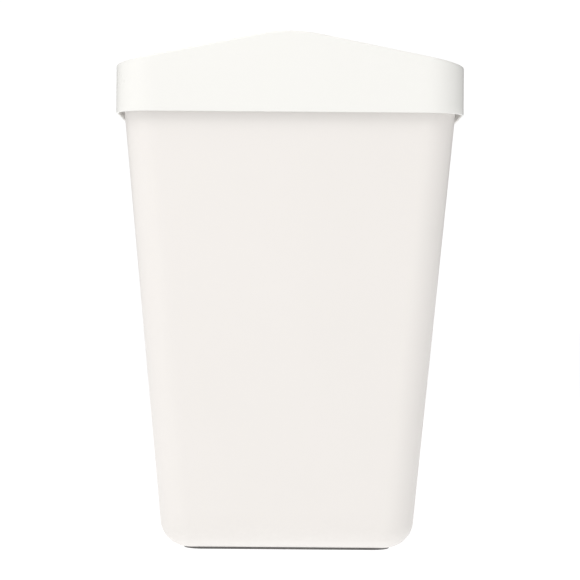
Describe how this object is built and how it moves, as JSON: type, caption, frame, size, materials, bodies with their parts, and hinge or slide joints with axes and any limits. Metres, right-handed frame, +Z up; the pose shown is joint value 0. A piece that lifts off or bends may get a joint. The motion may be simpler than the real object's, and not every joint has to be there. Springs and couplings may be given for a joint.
{
  "type": "pedal trash can",
  "caption": "Tall tapered kitchen waste bin with a lift-out bucket under a lift-off gabled hood; a foot pedal raises a rod that swings the ridge flaps open.",
  "frame": {"origin": "centre of the bounding box at floor level, under the tub", "axes": "+Z up, -Y towards the pedal at the front, +X to the right of someone who stands behind the bin and faces its front, so the flap at -X is the left one when seen from the front"},
  "size_m": [0.36, 0.3, 0.5378],
  "materials": {
    "hood_plastic": "semi-gloss white",
    "tub_plastic": "satin warm white",
    "bucket_plastic": "matt light grey",
    "screen_plastic": "matt off-white",
    "grey_plastic": "matt mid grey",
    "dark_rubber": "matt dark grey",
    "seal_rubber": "matt light grey",
    "rod_steel": "zinc-plated, drawn",
    "screw_steel": "zinc-plated"
  },
  "bodies": {
    "tub": {"outer_tub": "tub_plastic", "base_ring": "dark_rubber", "inner_bucket": "bucket_plastic", "bag_ring": "rod_steel", "axle_bracket_left": "grey_plastic", "axle_bracket_right": "grey_plastic", "pedal_axle": "rod_steel", "bracket_screws": "screw_steel", "lower_rod_guide": "grey_plastic", "upper_rod_guide": "grey_plastic", "guide_screws": "screw_steel"},
    "pedal": {"pedal_lever": "rod_steel", "pedal_tread": "tub_plastic", "tread_grip": "dark_rubber", "tread_screws": "screw_steel"},
    "lift_rod": {"push_rod": "rod_steel", "rod_foot": "grey_plastic", "yoke": "grey_plastic", "yoke_pads": "dark_rubber", "yoke_screw": "screw_steel"},
    "hood": {"hood": "hood_plastic", "mechanism_screen": "screen_plastic", "screen_screws": "screw_steel", "hinge_rod_left": "rod_steel", "hinge_rod_right": "rod_steel", "hinge_caps": "grey_plastic", "closing_buffers": "dark_rubber"},
    "flap_left": {"flap_left": "hood_plastic", "crank_left": "grey_plastic", "crank_screws_left": "screw_steel", "ridge_seal": "seal_rubber"},
    "flap_right": {"flap_right": "hood_plastic", "crank_right": "grey_plastic", "crank_screws_right": "screw_steel"}
  },
  "joints": [
    {"name": "pedal_press", "type": "hinge", "parent": "tub", "child": "pedal", "pos_m": [0, -0.04, 0.022], "axis": [1, 0, 0], "range_deg": [0, 12.69]},
    {"name": "rod_lift", "type": "slide", "parent": "tub", "child": "lift_rod", "axis": [0, 0.0889, 0.996], "range_m": [0, 0.02612]},
    {"name": "hood_lift", "type": "slide", "parent": "tub", "child": "hood", "axis": [0, 0, 1], "range_m": [0, 0.12]},
    {"name": "flap_left_open", "type": "hinge", "parent": "hood", "child": "flap_left", "pos_m": [-0.151, 0, 0.50468], "axis": [0, -1, 0], "range_deg": [0, 72]},
    {"name": "flap_right_open", "type": "hinge", "parent": "hood", "child": "flap_right", "pos_m": [0.151, 0, 0.50468], "axis": [0, 1, 0], "range_deg": [0, 72]}
  ],
  "couplings": [
    {"joint": "rod_lift", "follows": "pedal_press", "m_per_rad": 0.11787},
    {"joint": "flap_left_open", "follows": "pedal_press", "ratio": 5.674},
    {"joint": "flap_right_open", "follows": "pedal_press", "ratio": 5.674}
  ]
}
